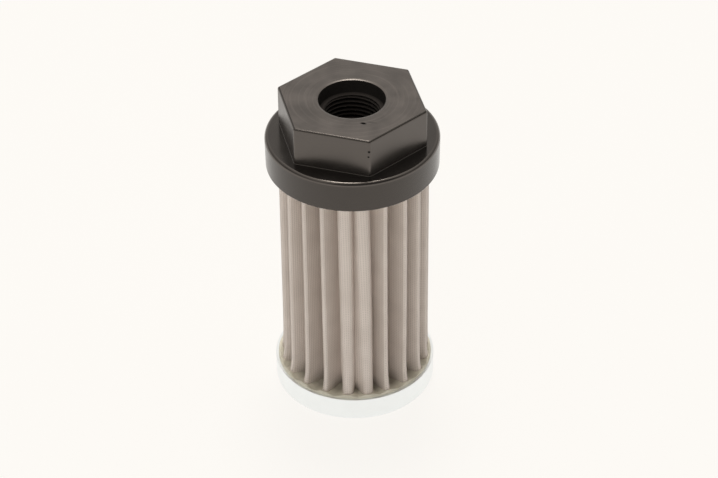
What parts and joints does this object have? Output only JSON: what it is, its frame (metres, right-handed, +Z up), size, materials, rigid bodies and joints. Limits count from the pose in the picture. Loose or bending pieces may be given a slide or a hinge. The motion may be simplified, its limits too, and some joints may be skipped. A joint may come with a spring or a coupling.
{
  "type": "hydraulic suction strainer",
  "caption": "In-tank suction strainer: black moulded hex head with a threaded port, a pleated stainless wire-cloth cylinder bonded below it, and a pressed steel end cap.",
  "frame": {"origin": "centre of the end cap's underside, on the strainer's axis", "axes": "+Z up the axis, out of the threaded port; X through two corners of the hex"},
  "size_m": [0.047, 0.047, 0.093],
  "materials": {
    "black_nylon": "moulded, satin",
    "wire_cloth": "plain woven stainless wire",
    "tube_zinc": "zinc-plated, satin",
    "cap_zinc": "zinc-plated, bright",
    "bond": "cast adhesive, satin"
  },
  "bodies": {
    "root": {"head": "black_nylon", "pleated_mesh": "wire_cloth", "support_tube": "tube_zinc", "end_cap": "cap_zinc", "upper_bond": "bond", "lower_bond": "bond"}
  },
  "joints": []
}
